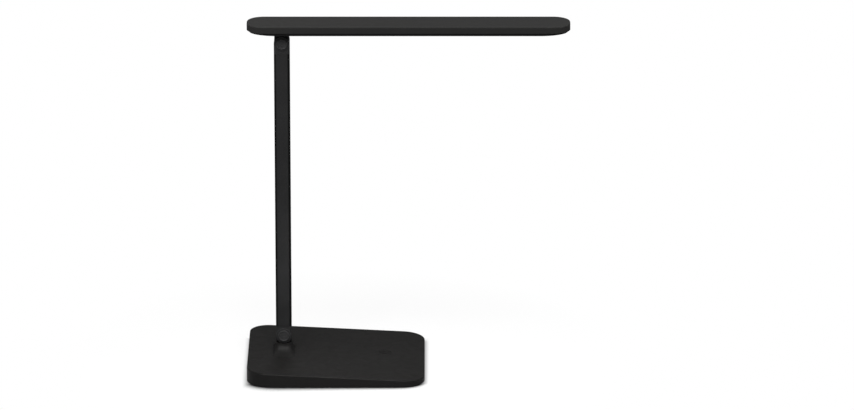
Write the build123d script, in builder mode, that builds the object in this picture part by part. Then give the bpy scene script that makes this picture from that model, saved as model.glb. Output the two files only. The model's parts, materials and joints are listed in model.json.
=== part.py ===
from build123d import *
from math import cos, radians, sin
import os

# An LED desk lamp, in millimetres. The origin is on the post's axis at the table's surface.
# X runs from the post towards the far end of the head, Y from the front to the back, Z up.

# Base, a wedge that is thick under the post
base_left = 36.6
base_right = 144.0
base_depth = 157.0
base_corner = 22.0
thick_end = 15.0
thin_end = 6.0
rim_height = 0.6
cover_wall = 2.2
cover_roof = 2.0
cover_edge = 1.3

# Neck that rises out of the base; its size is at its top, and it sweeps out below
neck_width = 17.0
neck_depth = 20.8
neck_corner = 4.5
neck_wall = 2.4
side_sweep = 4.0
front_sweep = 20.0
corner_sweep = 6.0
sweep_turns = (0, 20, 40, 60, 75, 86)
sweep_sink = 0.3
shoulder_thick = 3.0

# Underside of the base
plate_thick = 1.6
mat_thick = 1.2
mat_inset = 7.0
mat_corner = 15.0
hook_width = 14.0
hook_reach = 1.2
hook_thick = 1.4
hook_spread = 74.0

# Ballast, a steel plate with room for the power inlet and the lead
ballast_left = 16.0
ballast_right = 62.0
ballast_margin = 12.5
ballast_thick = 5.0
ballast_corner = 4.0
lead_slot = 4.2

# Hinges: the arm's forks straddle a tongue on the base and one on the head
pivot_low = 31.7
pivot_high = 341.7
tongue_thick = 8.0
tongue_width = 15.0
pin_radius = 2.0
pin_head_radius = 3.6
pin_head_thick = 2.0
nut_flats = 7.0
nut_thick = 2.4
washer_radius = 5.5
washer_thick = 0.5
cap_radius = 5.8
cap_seat = 1.1
cap_proud = 0.8
cap_rim = 1.1
cap_dish = 0.45
cap_dimple = 0.8
cap_bevel = 0.4
knuckle_edge = 0.8
shank_step = 0.5

# Arm
arm_width = 15.8
arm_depth = 20.0
arm_edge = 2.6
arm_wall = 1.4
arm_inner_edge = 1.2
fork_reach = 10.6
spigot_length = 14.0
spigot_wall = 1.6

# Head
head_left = 35.2
head_right = 290.6
head_width = 41.0
head_corner = 17.0
head_rise = 10.8
head_thick = 9.8
side_height = 6.6
head_wall = 1.6
head_roof = 1.4
head_edge = 1.0
lip_inset = 2.5
lip_end = 28.0
frame_floor = 1.4
frame_wall = 1.2
frame_rise = 2.0

# Light window on the head's underside and what lies over it
window_left = 44.0
window_right = 261.0
window_margin = 6.0
window_corner = 4.0
diffuser_thick = 1.2
diffuser_flange = 0.8
flange_reach = 1.6
tray_height = 3.6
tray_skin = 0.6
tray_taper = 35
board_thick = 1.2
chip_length = 3.5
chip_width = 2.8
chip_thick = 0.8
chip_rows = 2
chip_columns = 14
chip_row_pitch = 12.0
chip_pitch = 15.2

# Brackets
foot_length = 24.0
foot_width = 44.0
foot_thick = 2.0
foot_screw_x = 8.0
foot_screw_y = 17.0
lug_length = 30.0
lug_width = 27.0
lug_thick = 2.0
lug_screw_x = 11.0
lug_screw_y = 9.5

# Power key and its switch
key_x = 103.5
key_y = 8.0
key_radius = 7.0
key_travel = 0.5
key_dish = 0.9
key_flange = 1.0
key_flange_thick = 0.8
key_skirt = 0.6
plunger_radius = 1.1
switch_size = 4.6
switch_height = 1.3

# Boards in the base; the chips' places are measured from the key
control_left = 36.0
control_right = 24.0
control_width = 44.0
pcb_thick = 1.0
post_height = 0.4
post_radius = 1.9
board_screw_inset = 3.5
chip_height = 1.1
driver_size = 6.3
regulator_length = 8.8
regulator_width = 5.5
chip_row_left = 18.0
driver_front = 11.0
regulator_back = 11.0
coil_left = 9.0
coil_front = 14.7
coil_radius = 1.6

# Power inlet in the back wall
socket_x = 4.0
socket_width = 9.0
socket_height = 3.2
socket_depth = 7.4
socket_shell = 0.35
tongue_blade = 0.7
blade_width = 6.7
socket_set_in = 0.9
socket_board_width = 18.0
socket_board_depth = 13.0

# Leads
lead_radius = 0.9
lead_side = 0.7
lead_bend = 3.0
power_lead_back = 14.7
lead_entry = 9.0
lead_rise = 5.0

# Screws
screw_radius = 1.25
screw_head_radius = 2.6
screw_head = 1.2
screw_bite = 2.2
countersink = 45
small_radius = 0.9
small_head_radius = 1.7
small_head = 0.7
boss_radius = 3.4
cup_radius = 4.4
cup_height = 1.4
base_screw_left = 25.6
base_screw_right = 84.0
base_screw_inset = 14.0
head_screw_left = 20.0
head_screw_right = 34.0
head_screw_y = 11.0
small_boss_radius = 2.3

# Clearances
fit_gap = 0.2
running_gap = 0.05
swing_gap = 0.4
lead_gap = 0.35

# Sizes that follow from the ones above
base_length = base_left + base_right
base_middle = (base_right - base_left) / 2
slope = (thick_end - thin_end) / base_length
knuckle_radius = arm_width / 2
shoulder_height = pivot_low - knuckle_radius
plate_top = rim_height + plate_thick
mat_length = base_length - 2 * mat_inset
mat_width = base_depth - 2 * mat_inset
inside_length = base_length - 2 * cover_wall
inside_depth = base_depth - 2 * cover_wall
inside_corner = base_corner - cover_wall
tongue_half = tongue_thick / 2
slot_half = tongue_half + washer_thick + 2 * running_gap
slot_floor = tongue_width / 2 + swing_gap
face = arm_depth / 2
cap_floor = face - cap_seat
tube_low = pivot_low + fork_reach
tube_high = pivot_high - fork_reach
spigot_width = arm_width - 2 * arm_wall - fit_gap
spigot_depth = arm_depth - 2 * arm_wall - fit_gap
lead_x = arm_width / 2 - arm_wall - lead_radius - lead_side
lead_y = tongue_half - lead_radius - fit_gap
underside = pivot_high + head_rise
head_top = underside + head_thick
wall_foot = head_top - side_height
head_length = head_left + head_right
head_middle = (head_right - head_left) / 2
window_width = head_width - 2 * window_margin
ballast_top = plate_top + ballast_thick
ballast_width = base_depth - 2 * ballast_margin
foot_top = ballast_top + foot_thick
board_base = plate_top + post_height
board_top = board_base + pcb_thick


def top_height(x):
    return thick_end - slope * (x + base_left)


# Plane of the base's top, and the roof's inner face below it
top_plane = Plane(origin=(0, 0, top_height(0)), x_dir=(1, 0, -slope), z_dir=(slope, 0, 1))
roof_plane = top_plane.offset(-cover_roof)
key_plane = Plane(origin=(key_x, key_y, top_height(key_x)), x_dir=(1, 0, -slope), z_dir=(slope, 0, 1))

screw_places = [
    (x, side * (base_depth / 2 - base_screw_inset))
    for x in (-base_screw_left, base_screw_right)
    for side in (-1, 1)
]
hook_places = [(base_right - cover_wall, side * hook_spread / 2) for side in (-1, 1)]
key_board_places = [
    (key_x + x, key_y + side * (control_width / 2 - board_screw_inset))
    for x in (board_screw_inset - control_left, control_right - board_screw_inset)
    for side in (-1, 1)
]
socket_back = base_depth / 2 - socket_set_in
socket_front = socket_back - socket_depth
socket_board_y = base_depth / 2 - cover_wall - fit_gap - socket_board_depth / 2
socket_z = board_top + socket_height / 2
socket_screw_x = socket_board_width / 2 - small_head_radius - fit_gap
socket_screw_y = socket_board_y - socket_board_depth / 4
socket_screw_places = [(socket_x + side * socket_screw_x, socket_screw_y) for side in (-1, 1)]
foot_screw_places = [(x, y) for x in (-foot_screw_x, foot_screw_x) for y in (-foot_screw_y, foot_screw_y)]
lug_screw_places = [(x, y) for x in (-lug_screw_x, lug_screw_x) for y in (-lug_screw_y, lug_screw_y)]
head_screw_places = [
    (x, y) for x in (-head_screw_left, head_screw_right) for y in (-head_screw_y, head_screw_y)
]

os.makedirs("parts", exist_ok=True)


# Base cover: a wedge shell with the neck on it, as one moulding

with BuildPart() as cover_hollow:
    with BuildSketch(Plane.XY.offset(rim_height)):
        with Locations((base_middle, 0)):
            RectangleRounded(inside_length, inside_depth, inside_corner)
    extrude(amount=thick_end)
    split(bisect_by=roof_plane, keep=Keep.BOTTOM)

with BuildPart() as cover_bosses:
    with BuildSketch(Plane.XY.offset(plate_top + cup_height)):
        with Locations(*screw_places):
            Circle(boss_radius)
    extrude(amount=thick_end)
    split(bisect_by=top_plane.offset(-cover_roof / 2), keep=Keep.BOTTOM)

# The neck's sections lie parallel to the base's top and open out along a quarter ellipse
neck_rise = shoulder_height + slope * neck_width - top_height(0)

with BuildPart() as neck:
    for turn in sweep_turns:
        rise = neck_rise - (neck_rise + sweep_sink) * sin(radians(turn))
        opening = 1 - cos(radians(turn))
        with BuildSketch(
            Plane(origin=(0, 0, top_height(0) + rise), x_dir=(1, 0, -slope), z_dir=(slope, 0, 1))
        ):
            RectangleRounded(
                neck_width + 2 * side_sweep * opening,
                neck_depth + 2 * front_sweep * opening,
                neck_corner + corner_sweep * opening,
            )
    loft()
    split(bisect_by=Plane.XY.offset(shoulder_height), keep=Keep.BOTTOM)

with BuildPart() as base_cover:
    with BuildSketch(Plane.XY.offset(rim_height)):
        with Locations((base_middle, 0)):
            RectangleRounded(base_length, base_depth, base_corner)
    extrude(amount=thick_end)
    split(bisect_by=top_plane, keep=Keep.BOTTOM)
    rim = base_cover.edges().filter_by(lambda e: abs(top_plane.to_local_coords(e.center()).Z) < 0.01)
    fillet(rim, cover_edge)
    add(neck.part)
    # The neck's top is hollowed round the arm's knuckle
    with BuildSketch(Plane.XZ):
        with Locations((0, pivot_low)):
            Circle(knuckle_radius + swing_gap)
    extrude(amount=neck_depth, both=True, mode=Mode.SUBTRACT)
    # Inside of the shell, of the neck, and the slot for the tongue
    add(cover_hollow.part, mode=Mode.SUBTRACT)
    with BuildSketch(Plane.XY.offset(plate_top)):
        Rectangle(tongue_width + 2 * fit_gap, neck_depth - 2 * neck_wall)
    extrude(amount=shoulder_height - shoulder_thick - plate_top, mode=Mode.SUBTRACT)
    with BuildSketch(Plane.XY.offset(plate_top)):
        Rectangle(tongue_width + 2 * fit_gap, tongue_thick + 2 * fit_gap)
    extrude(amount=shoulder_height, mode=Mode.SUBTRACT)
    # Screw bosses, hook pockets, the key's hole and the hole for the power plug
    add(cover_bosses.part)
    with BuildSketch(Plane.XY.offset(plate_top + cup_height)):
        with Locations(*screw_places):
            Circle(screw_radius + running_gap)
    extrude(amount=screw_bite + 2 * fit_gap, mode=Mode.SUBTRACT)
    with BuildSketch(Plane.XY.offset(rim_height)):
        with Locations(*hook_places):
            Rectangle(2 * (hook_reach + fit_gap), hook_width + 2 * fit_gap)
    extrude(amount=plate_thick + hook_thick + fit_gap, mode=Mode.SUBTRACT)
    with BuildSketch(key_plane):
        Circle(key_radius + fit_gap)
    extrude(amount=cover_roof, both=True, mode=Mode.SUBTRACT)
    with BuildSketch(Plane.XZ.offset(-base_depth / 2)):
        with Locations((socket_x, socket_z)):
            SlotOverall(socket_width + 2 * fit_gap, socket_height + 2 * fit_gap)
    extrude(amount=2 * cover_wall, both=True, mode=Mode.SUBTRACT)
base_cover.part.label = "base_cover"
export_step(base_cover.part, "parts/base_cover.step")


# Base plate with screw cups, board posts and two hooks at the thin end

with BuildPart() as base_plate:
    with BuildSketch(Plane.XY.offset(rim_height)):
        with Locations((base_middle, 0)):
            RectangleRounded(inside_length - 2 * fit_gap, inside_depth - 2 * fit_gap, inside_corner - fit_gap)
    extrude(amount=plate_thick)
    with BuildSketch(Plane.XY.offset(plate_top)):
        with Locations(*screw_places):
            Circle(cup_radius)
    extrude(amount=cup_height)
    with BuildSketch(Plane.XY.offset(plate_top)):
        with Locations(*key_board_places, *socket_screw_places):
            Circle(post_radius)
    extrude(amount=post_height)
    with BuildSketch(Plane.XY.offset(plate_top)):
        with Locations(*hook_places):
            Rectangle(2 * hook_reach, hook_width)
    extrude(amount=hook_thick)
    with BuildSketch(Plane.XY.offset(plate_top)):
        with Locations(*[(x - hook_reach - hook_thick / 2, y) for x, y in hook_places]):
            Rectangle(hook_thick, hook_width)
    extrude(amount=hook_thick)
    # Recess for the mat, then the screws' counterbores in its floor
    with BuildSketch(Plane.XY):
        with Locations((base_middle, 0)):
            RectangleRounded(mat_length + 2 * fit_gap, mat_width + 2 * fit_gap, mat_corner)
    extrude(amount=mat_thick, mode=Mode.SUBTRACT)
    with BuildSketch(Plane.XY):
        with Locations(*screw_places):
            Circle(screw_head_radius + fit_gap)
    extrude(amount=mat_thick + screw_head + fit_gap, mode=Mode.SUBTRACT)
    with BuildSketch(Plane.XY):
        with Locations(*screw_places):
            Circle(screw_radius + fit_gap)
    extrude(amount=plate_top + cup_height, mode=Mode.SUBTRACT)
    with BuildSketch(Plane.XY.offset(mat_thick)):
        with Locations(*key_board_places, *socket_screw_places):
            Circle(small_radius + running_gap)
    extrude(amount=thick_end, mode=Mode.SUBTRACT)
base_plate.part.label = "base_plate"
export_step(base_plate.part, "parts/base_plate.step")

with BuildPart() as base_screws:
    with BuildSketch(Plane.XY.offset(mat_thick + fit_gap)):
        with Locations(*screw_places):
            Circle(screw_head_radius)
    extrude(amount=screw_head)
    with BuildSketch(Plane.XY.offset(mat_thick + fit_gap)):
        with Locations(*screw_places):
            Circle(screw_radius)
    extrude(amount=plate_top + cup_height + screw_bite - mat_thick - fit_gap)
base_screws.part.label = "base_screws"
export_step(base_screws.part, "parts/base_screws.step")

with BuildPart() as rubber_mat:
    with BuildSketch(Plane.XY):
        with Locations((base_middle, 0)):
            RectangleRounded(mat_length, mat_width, mat_corner)
    extrude(amount=mat_thick)
rubber_mat.part.label = "rubber_mat"
export_step(rubber_mat.part, "parts/rubber_mat.step")


# Steel ballast, with a bay for the power inlet, a slot for the lead and tapped holes

with BuildPart() as ballast_plate:
    with BuildSketch(Plane.XY.offset(plate_top)):
        with Locations(((ballast_right - ballast_left) / 2, 0)):
            RectangleRounded(ballast_left + ballast_right, ballast_width, ballast_corner)
        with Locations((socket_x, ballast_width / 2)):
            Rectangle(
                socket_board_width + 2 * fit_gap,
                2 * (ballast_width / 2 - socket_board_y + socket_board_depth / 2 + fit_gap),
                mode=Mode.SUBTRACT,
            )
        with Locations((ballast_right, lead_y)):
            Rectangle(2 * (ballast_right - lead_x + lead_slot / 2), lead_slot, mode=Mode.SUBTRACT)
        with Locations(*foot_screw_places):
            Circle(screw_radius + running_gap, mode=Mode.SUBTRACT)
    extrude(amount=ballast_thick)
ballast_plate.part.label = "ballast_plate"
export_step(ballast_plate.part, "parts/ballast_plate.step")


# Lower bracket: the tongue in the arm's lower fork, on a foot screwed to the ballast

with BuildPart() as lower_bracket:
    with BuildSketch(Plane.XZ):
        with Locations((0, pivot_low)):
            Circle(tongue_width / 2)
        with Locations((0, (pivot_low + ballast_top) / 2)):
            Rectangle(tongue_width, pivot_low - ballast_top)
    extrude(amount=tongue_half, both=True)
    with BuildSketch(Plane.XY.offset(ballast_top)):
        RectangleRounded(foot_length, foot_width, ballast_corner)
    extrude(amount=foot_thick)
    with BuildSketch(Plane.XZ):
        with Locations((0, pivot_low)):
            Circle(pin_radius + running_gap)
    extrude(amount=arm_depth, both=True, mode=Mode.SUBTRACT)
    # Channel for the lead up the tongue's back, and its way through the foot
    with BuildSketch(Plane.XY.offset(ballast_top)):
        with Locations((lead_x, tongue_half)):
            Rectangle(2 * (lead_radius + lead_gap), 2 * (tongue_half - lead_y + lead_radius + lead_gap))
    extrude(amount=pivot_low, mode=Mode.SUBTRACT)
    with BuildSketch(Plane.XY.offset(ballast_top)):
        with Locations((lead_x + lead_bend / 2, lead_y)):
            SlotOverall(lead_bend + lead_slot, lead_slot)
    extrude(amount=foot_thick, mode=Mode.SUBTRACT)
    with Locations(*[(x, y, foot_top) for x, y in foot_screw_places]):
        CounterSinkHole(screw_radius + running_gap, screw_head_radius, depth=foot_thick)
lower_bracket.part.label = "lower_bracket"
export_step(lower_bracket.part, "parts/lower_bracket.step")

with BuildPart() as bracket_screws:
    for x, y in foot_screw_places:
        with BuildSketch(Plane.XY.offset(foot_top - fit_gap)):
            with Locations((x, y)):
                Circle(screw_head_radius - 2 * fit_gap)
        extrude(amount=-(screw_head_radius - 2 * fit_gap - screw_radius), taper=countersink)
        with BuildSketch(Plane.XY.offset(foot_top - fit_gap)):
            with Locations((x, y)):
                Circle(screw_radius)
        extrude(amount=-(foot_thick + ballast_thick - 2 * fit_gap))
bracket_screws.part.label = "bracket_screws"
export_step(bracket_screws.part, "parts/bracket_screws.step")


# Control board with its larger chips, and the key's switch on it

with BuildPart() as control_board:
    with BuildSketch(Plane.XY.offset(board_base)):
        with Locations((key_x + (control_right - control_left) / 2, key_y)):
            Rectangle(control_left + control_right, control_width)
        with Locations(*key_board_places):
            Circle(small_radius + fit_gap, mode=Mode.SUBTRACT)
    extrude(amount=pcb_thick)
    with BuildSketch(Plane.XY.offset(board_top)):
        with Locations((key_x - chip_row_left, key_y - driver_front)):
            Rectangle(driver_size, driver_size)
        with Locations((key_x - chip_row_left, key_y + regulator_back)):
            Rectangle(regulator_length, regulator_width)
        with Locations((key_x - coil_left, key_y - coil_front)):
            Circle(coil_radius)
    extrude(amount=chip_height)
control_board.part.label = "control_board"
export_step(control_board.part, "parts/control_board.step")

with BuildPart() as board_screws:
    with BuildSketch(Plane.XY.offset(board_top)):
        with Locations(*key_board_places, *socket_screw_places):
            Circle(small_head_radius)
    extrude(amount=small_head)
    with BuildSketch(Plane.XY.offset(board_top)):
        with Locations(*key_board_places, *socket_screw_places):
            Circle(small_radius)
    extrude(amount=-(pcb_thick + post_height + plate_top - mat_thick - fit_gap))
board_screws.part.label = "board_screws"
export_step(board_screws.part, "parts/board_screws.step")

# Depth below the top, at the key, of the key's flange and of the plunger's lower end
flange_depth = cover_roof + fit_gap / 2 + key_flange_thick
plunger_end = top_height(key_x) - board_top - key_travel - fit_gap

with BuildPart() as key_switch:
    with BuildSketch(Plane.XY.offset(board_top)):
        with Locations((key_x, key_y)):
            Rectangle(switch_size, switch_size)
    extrude(amount=switch_height)
    with BuildSketch(key_plane.offset(-plunger_end - key_travel)):
        Circle(plunger_radius + fit_gap)
    extrude(amount=thick_end, mode=Mode.SUBTRACT)
key_switch.part.label = "key_switch"
export_step(key_switch.part, "parts/key_switch.step")


# Power key with a dished top, and the plunger that it pushes into the switch

with BuildPart() as power_key:
    with BuildSketch(key_plane):
        Circle(key_radius)
    extrude(amount=-flange_depth)
    with BuildSketch(key_plane.offset(-flange_depth)):
        Circle(key_radius + key_flange)
    extrude(amount=key_flange_thick)
    dish_radius = (key_radius**2 + key_dish**2) / (2 * key_dish)
    with Locations(key_plane.offset(dish_radius - key_dish)):
        Sphere(dish_radius, mode=Mode.SUBTRACT)
    with BuildSketch(key_plane.offset(-flange_depth)):
        Circle(key_radius - cover_roof)
    extrude(amount=key_skirt, mode=Mode.SUBTRACT)
power_key.part.label = "power_key"
export_step(power_key.part, "parts/power_key.step")

with BuildPart() as switch_plunger:
    with BuildSketch(key_plane.offset(-flange_depth + key_skirt)):
        Circle(plunger_radius)
    extrude(amount=-(plunger_end - flange_depth + key_skirt))
switch_plunger.part.label = "switch_plunger"
export_step(switch_plunger.part, "parts/switch_plunger.step")


# Power inlet: a flat oval metal shell with its contact blade, on a small board

with BuildPart() as socket_board:
    with BuildSketch(Plane.XY.offset(board_base)):
        with Locations((socket_x, socket_board_y)):
            Rectangle(socket_board_width, socket_board_depth)
        with Locations(*socket_screw_places):
            Circle(small_radius + fit_gap, mode=Mode.SUBTRACT)
    extrude(amount=pcb_thick)
socket_board.part.label = "socket_board"
export_step(socket_board.part, "parts/socket_board.step")

with BuildPart() as power_socket:
    with BuildSketch(Plane.XZ.offset(-socket_front)):
        with Locations((socket_x, socket_z)):
            SlotOverall(socket_width, socket_height)
    extrude(amount=-socket_depth)
    with BuildSketch(Plane.XZ.offset(-socket_front - socket_shell)):
        with Locations((socket_x, socket_z)):
            SlotOverall(socket_width - 2 * socket_shell, socket_height - 2 * socket_shell)
    extrude(amount=-socket_depth, mode=Mode.SUBTRACT)
    with BuildSketch(Plane.XZ.offset(-socket_front)):
        with Locations((socket_x, socket_z)):
            Rectangle(blade_width, tongue_blade)
    extrude(amount=-(socket_depth - tongue_blade))
power_socket.part.label = "power_socket"
export_step(power_socket.part, "parts/power_socket.step")


# Leads in the base: from the inlet along the ballast's back edge, and from the board up the neck

lead_z = board_top + lead_radius
channel_y = ballast_width / 2 + 2 * lead_radius + fit_gap
board_edge = key_x - control_left
power_start = socket_x + socket_board_width / 2 - lead_radius

with BuildPart() as power_lead:
    with BuildLine() as power_path:
        FilletPolyline(
            (power_start, socket_board_y + socket_board_depth / 4, lead_z),
            (power_start + lead_entry, channel_y, lead_z),
            (board_edge - lead_bend, channel_y, lead_z),
            (board_edge - lead_bend, key_y + power_lead_back, lead_z),
            (board_edge + lead_entry, key_y + power_lead_back, lead_z),
            radius=lead_bend,
        )
    with BuildSketch(Plane(origin=power_path.line @ 0, z_dir=power_path.line % 0)):
        Circle(lead_radius)
    sweep()
power_lead.part.label = "power_lead"
export_step(power_lead.part, "parts/power_lead.step")

with BuildPart() as base_lead:
    with BuildLine() as base_path:
        FilletPolyline(
            (board_edge + lead_bend, lead_y, lead_z),
            (lead_x, lead_y, lead_z),
            (lead_x, lead_y, pivot_low + lead_rise),
            radius=lead_bend,
        )
    with BuildSketch(Plane(origin=base_path.line @ 0, z_dir=base_path.line % 0)):
        Circle(lead_radius)
    sweep()
base_lead.part.label = "base_lead"
export_step(base_lead.part, "parts/base_lead.step")


# Arm: an extruded tube with a fork plugged into each end

with BuildPart() as arm_tube:
    with BuildSketch(Plane.XY.offset(tube_low)):
        RectangleRounded(arm_width, arm_depth, arm_edge)
        RectangleRounded(
            arm_width - 2 * arm_wall, arm_depth - 2 * arm_wall, arm_inner_edge, mode=Mode.SUBTRACT
        )
    extrude(amount=tube_high - tube_low)
arm_tube.part.label = "arm_tube"
export_step(arm_tube.part, "parts/arm_tube.step")


def build_fork(pivot, way):
    # The round ears straddle a tongue at the pivot; way is 1 where the arm lies above it
    with BuildPart() as fork:
        with BuildSketch(Plane.XZ):
            with Locations((0, pivot)):
                Circle(knuckle_radius)
        extrude(amount=face, both=True)
        fillet(fork.edges().filter_by(GeomType.CIRCLE), knuckle_edge)
        with BuildSketch(Plane.XY.offset(pivot)):
            RectangleRounded(arm_width, arm_depth - 2 * shank_step, arm_edge)
        extrude(amount=way * fork_reach)
        with BuildSketch(Plane.XY.offset(pivot + way * fork_reach)):
            RectangleRounded(spigot_width, spigot_depth, arm_inner_edge)
            Rectangle(spigot_width - 2 * spigot_wall, spigot_depth - 2 * spigot_wall, mode=Mode.SUBTRACT)
        extrude(amount=way * spigot_length)
        with BuildSketch(Plane.XZ):
            with Locations((0, pivot + way * (slot_floor - arm_width) / 2)):
                Rectangle(2 * arm_width, slot_floor + arm_width)
        extrude(amount=slot_half, both=True, mode=Mode.SUBTRACT)
        with BuildSketch(Plane.XZ):
            with Locations((0, pivot)):
                Circle(pin_radius + running_gap)
        extrude(amount=arm_depth, both=True, mode=Mode.SUBTRACT)
        # Seats for the two caps, the pin's head in front and the nut behind
        with BuildSketch(Plane.XZ.offset(cap_floor)):
            with Locations((0, pivot)):
                Circle(cap_radius + running_gap)
        extrude(amount=cap_seat, mode=Mode.SUBTRACT)
        with BuildSketch(Plane.XZ.offset(-cap_floor)):
            with Locations((0, pivot)):
                Circle(cap_radius + running_gap)
        extrude(amount=-cap_seat, mode=Mode.SUBTRACT)
        with BuildSketch(Plane.XZ.offset(cap_floor - pin_head_thick - 2 * running_gap)):
            with Locations((0, pivot)):
                Circle(pin_head_radius + running_gap)
        extrude(amount=face, mode=Mode.SUBTRACT)
        with BuildSketch(Plane.XZ.offset(-(cap_floor - nut_thick - 2 * running_gap))):
            with Locations((0, pivot)):
                RegularPolygon(nut_flats / 2 + running_gap, 6, major_radius=False)
        extrude(amount=-face, mode=Mode.SUBTRACT)
        with BuildSketch(Plane.XY.offset(pivot)):
            with Locations((lead_x, lead_y)):
                Circle(lead_radius + lead_gap)
        extrude(amount=way * (fork_reach + spigot_length), mode=Mode.SUBTRACT)
    return fork


lower_fork = build_fork(pivot_low, 1)
lower_fork.part.label = "lower_fork"
export_step(lower_fork.part, "parts/lower_fork.step")

upper_fork = build_fork(pivot_high, -1)
upper_fork.part.label = "upper_fork"
export_step(upper_fork.part, "parts/upper_fork.step")


# Each hinge has a pin with a head, a nut, two friction washers and a cap at each end

for name, pivot in (("lower", pivot_low), ("upper", pivot_high)):
    with BuildPart() as hinge_pin:
        with BuildSketch(Plane.XZ.offset(cap_floor - pin_head_thick - running_gap)):
            with Locations((0, pivot)):
                Circle(pin_head_radius)
        extrude(amount=pin_head_thick)
        with BuildSketch(Plane.XZ.offset(cap_floor - pin_head_thick)):
            with Locations((0, pivot)):
                Circle(pin_radius)
        extrude(amount=-(2 * cap_floor - pin_head_thick - fit_gap))
    hinge_pin.part.label = f"{name}_pin"
    export_step(hinge_pin.part, f"parts/{name}_pin.step")

    with BuildPart() as hinge_nut:
        with BuildSketch(Plane.XZ.offset(-(cap_floor - nut_thick - running_gap))):
            with Locations((0, pivot)):
                RegularPolygon(nut_flats / 2, 6, major_radius=False)
                Circle(pin_radius + running_gap, mode=Mode.SUBTRACT)
        extrude(amount=-nut_thick)
    hinge_nut.part.label = f"{name}_nut"
    export_step(hinge_nut.part, f"parts/{name}_nut.step")

    with BuildPart() as hinge_washers:
        for side in (-1, 1):
            with BuildSketch(Plane.XZ.offset(side * (tongue_half + running_gap))):
                with Locations((0, pivot)):
                    Circle(washer_radius)
                    Circle(pin_radius + running_gap, mode=Mode.SUBTRACT)
            extrude(amount=side * washer_thick)
    hinge_washers.part.label = f"{name}_washers"
    export_step(hinge_washers.part, f"parts/{name}_washers.step")

    for end, side in (("front", -1), ("back", 1)):
        outer = face + cap_proud
        with BuildPart() as hinge_cap:
            with BuildSketch(Plane.XY.offset(pivot)):
                with BuildLine():
                    Polyline(
                        (0, side * cap_floor),
                        (cap_radius, side * cap_floor),
                        (cap_radius, side * (outer - cap_bevel)),
                        (cap_radius - cap_bevel, side * outer),
                        (cap_radius - cap_rim, side * outer),
                        (cap_radius - cap_rim - cap_dish, side * (outer - cap_dish)),
                        (cap_dimple, side * (outer - cap_dish)),
                        (0, side * (outer - cap_dish - cap_dimple / 2)),
                        close=True,
                    )
                make_face()
            revolve(axis=Axis((0, 0, pivot), (0, 1, 0)))
        hinge_cap.part.label = f"{name}_{end}_cap"
        export_step(hinge_cap.part, f"parts/{name}_{end}_cap.step")

with BuildPart() as arm_lead:
    with BuildSketch(Plane.XY.offset(pivot_low + slot_floor)):
        with Locations((lead_x, lead_y)):
            Circle(lead_radius)
    extrude(amount=pivot_high - pivot_low - 2 * slot_floor)
arm_lead.part.label = "arm_lead"
export_step(arm_lead.part, "parts/arm_lead.step")


# Head cover: a long shallow shell, open below, with bosses for the bracket and the frame

lug_top = underside + frame_floor + 2 * screw_head + lug_thick
roof_under = head_top - head_roof

with BuildPart() as head_cover:
    with BuildSketch(Plane.XY.offset(wall_foot)):
        with Locations((head_middle, 0)):
            RectangleRounded(head_length, head_width, head_corner)
    extrude(amount=side_height)
    fillet(head_cover.faces().sort_by(Axis.Z)[-1].edges(), head_edge)
    with BuildSketch(Plane.XY.offset(wall_foot)):
        with Locations((head_middle, 0)):
            RectangleRounded(head_length - 2 * head_wall, head_width - 2 * head_wall, head_corner - head_wall)
    extrude(amount=side_height - head_roof, mode=Mode.SUBTRACT)
    with BuildSketch(Plane.XY.offset(lug_top)):
        with Locations(*lug_screw_places):
            Circle(boss_radius)
            Circle(screw_radius + running_gap, mode=Mode.SUBTRACT)
    extrude(amount=roof_under - lug_top)
    with BuildSketch(Plane.XY.offset(underside + frame_floor + small_head)):
        with Locations(*head_screw_places):
            Circle(small_boss_radius)
            Circle(small_radius + running_gap, mode=Mode.SUBTRACT)
    extrude(amount=roof_under - underside - frame_floor - small_head)
head_cover.part.label = "head_cover"
export_step(head_cover.part, "parts/head_cover.step")


# Head frame: the inset lower lip, with the tongue's slot and the light window

frame_length = head_length - 2 * lip_inset
frame_width = head_width - 2 * lip_inset
window_length = window_right - window_left
window_middle = (window_right + window_left) / 2

with BuildPart() as head_frame:
    with BuildSketch(Plane.XY.offset(underside)):
        with Locations((head_middle, 0)):
            Rectangle(frame_length - 2 * lip_end, frame_width)
            with GridLocations(frame_length - 2 * lip_end, 0, 2, 1):
                Ellipse(lip_end, frame_width / 2)
    extrude(amount=wall_foot - underside)
    with BuildSketch(Plane.XY.offset(wall_foot)):
        with Locations((head_middle, 0)):
            RectangleRounded(
                head_length - 2 * head_wall - 2 * fit_gap,
                head_width - 2 * head_wall - 2 * fit_gap,
                head_corner - head_wall - fit_gap,
            )
    extrude(amount=frame_rise)
    with BuildSketch(Plane.XY.offset(underside + frame_floor)):
        with Locations((head_middle, 0)):
            Rectangle(frame_length - 2 * lip_end, frame_width - 2 * frame_wall)
            with GridLocations(frame_length - 2 * lip_end, 0, 2, 1):
                Ellipse(lip_end - frame_wall, frame_width / 2 - frame_wall)
    extrude(amount=head_thick, mode=Mode.SUBTRACT)
    # Screw pads, the tongue's slot and the window
    with BuildSketch(Plane.XY.offset(underside + frame_floor)):
        with Locations(*head_screw_places):
            Circle(small_boss_radius)
    extrude(amount=small_head)
    with BuildSketch(Plane.XY.offset(underside)):
        with Locations(*head_screw_places):
            Circle(small_radius + fit_gap)
    extrude(amount=head_thick, mode=Mode.SUBTRACT)
    with BuildSketch(Plane.XY.offset(underside)):
        with Locations(*head_screw_places):
            Circle(small_head_radius + fit_gap)
    extrude(amount=small_head + fit_gap, mode=Mode.SUBTRACT)
    with BuildSketch(Plane.XY.offset(underside)):
        Rectangle(tongue_width + 2 * fit_gap, tongue_thick + 2 * fit_gap)
        with Locations((window_middle, 0)):
            RectangleRounded(window_length, window_width, window_corner)
    extrude(amount=head_thick, mode=Mode.SUBTRACT)
head_frame.part.label = "head_frame"
export_step(head_frame.part, "parts/head_frame.step")

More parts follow.
